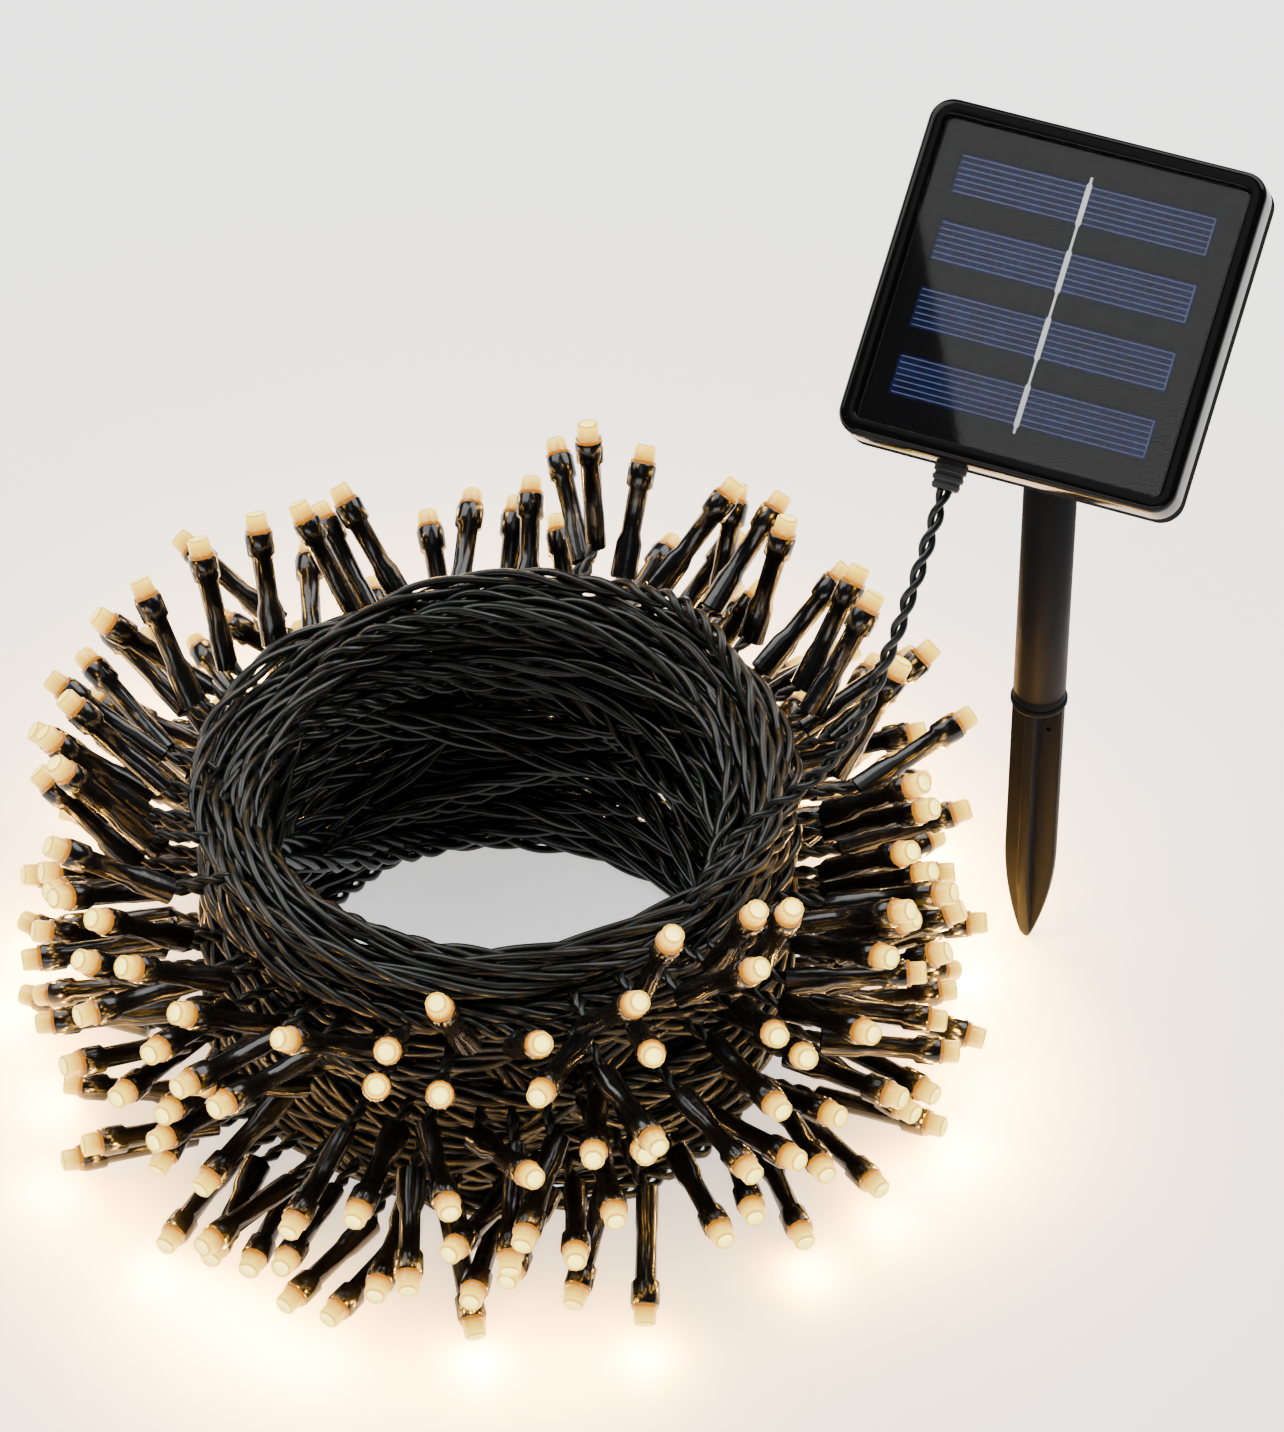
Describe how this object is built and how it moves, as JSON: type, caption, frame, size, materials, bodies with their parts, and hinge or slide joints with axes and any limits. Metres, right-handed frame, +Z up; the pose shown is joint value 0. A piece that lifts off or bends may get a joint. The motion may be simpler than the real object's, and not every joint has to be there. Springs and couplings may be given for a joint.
{
  "type": "solar string lights",
  "caption": "Solar string lights: a tilting square solar panel head on a ribbed ground stake, with its lead running to a loose coil of twisted black cord and warm capsule lights.",
  "frame": {"origin": "tip of the ground spike, which stands on the floor beside the coil", "axes": "+Z up the stake, +X along the tilt hinge, -Y the way the solar panel faces"},
  "size_m": [0.2378, 0.21, 0.2098],
  "materials": {
    "gloss_shell": "polished black ABS",
    "matte_shell": "moulded black plastic",
    "stake_black": "satin black plastic",
    "clear_cover": "clear glossy cover",
    "laminate_black": "black laminate board",
    "cell_blue": "dark blue silicon",
    "grid_silver": "fine silver print",
    "ribbon_tin": "tinned copper",
    "seal_rubber": "soft black rubber",
    "screw_steel": "zinc plated steel",
    "battery_wrap": "green shrink wrap",
    "nickel": "nickel plate",
    "board_green": "solder mask",
    "component_black": "epoxy",
    "button_rubber": "soft rubber",
    "wire_red": "PVC wire",
    "cord_pvc": "semi-gloss dark green-black PVC",
    "sleeve_black": "glossy black PVC sleeve",
    "diode_clear": "clear epoxy, lit warm white"
  },
  "bodies": {
    "stake": {"ground_spike": "stake_black", "stake_tube": "stake_black", "panel_lead": "cord_pvc", "string_coil": "cord_pvc", "light_sleeves_1": "sleeve_black", "light_diodes_1": "diode_clear", "diode_legs_1": "nickel", "light_tails_1": "cord_pvc", "light_sleeves_2": "sleeve_black", "light_diodes_2": "diode_clear", "diode_legs_2": "nickel", "light_tails_2": "cord_pvc", "light_sleeves_3": "sleeve_black", "light_diodes_3": "diode_clear", "diode_legs_3": "nickel", "light_tails_3": "cord_pvc", "light_sleeves_4": "sleeve_black", "light_diodes_4": "diode_clear", "diode_legs_4": "nickel", "light_tails_4": "cord_pvc"},
    "bracket": {"tilt_bracket": "matte_shell", "hinge_washers": "nickel"},
    "head": {"front_bezel": "gloss_shell", "back_shell": "gloss_shell", "solar_cover": "clear_cover", "cell_board": "laminate_black", "solar_cells": "cell_blue", "cell_fingers": "grid_silver", "bus_ribbon": "ribbon_tin", "case_gasket": "seal_rubber", "case_screws": "screw_steel", "battery": "battery_wrap", "battery_cradle": "matte_shell", "battery_contacts": "nickel", "control_board": "board_green", "board_components": "component_black", "tact_switches": "component_black", "hookup_wires": "wire_red", "cable_gland": "seal_rubber", "hinge_bolt": "screw_steel"},
    "knob": {"clamp_knob": "matte_shell"},
    "power_key": {"power_button": "button_rubber"},
    "mode_key": {"mode_button": "button_rubber"}
  },
  "joints": [
    {"name": "head_swivel", "type": "hinge", "parent": "stake", "child": "bracket", "pos_m": [0, 0, 0.1382], "axis": [0, 0, 1], "range_deg": [-180, 180], "deforming": ["panel_lead"]},
    {"name": "panel_tilt", "type": "hinge", "parent": "bracket", "child": "head", "pos_m": [0, 0, 0.1572], "axis": [1, 0, 0], "range_deg": [-33, 47], "deforming": ["panel_lead"]},
    {"name": "knob_turn", "type": "hinge", "parent": "head", "child": "knob", "pos_m": [0, 0, 0.1572], "axis": [1, 0, 0], "continuous": true},
    {"name": "power_press", "type": "slide", "parent": "head", "child": "power_key", "axis": [0, -0.6157, 0.788], "range_m": [0, 0.0006], "stiffness_N_per_m": 1500},
    {"name": "mode_press", "type": "slide", "parent": "head", "child": "mode_key", "axis": [0, -0.6157, 0.788], "range_m": [0, 0.0006], "stiffness_N_per_m": 1500}
  ]
}
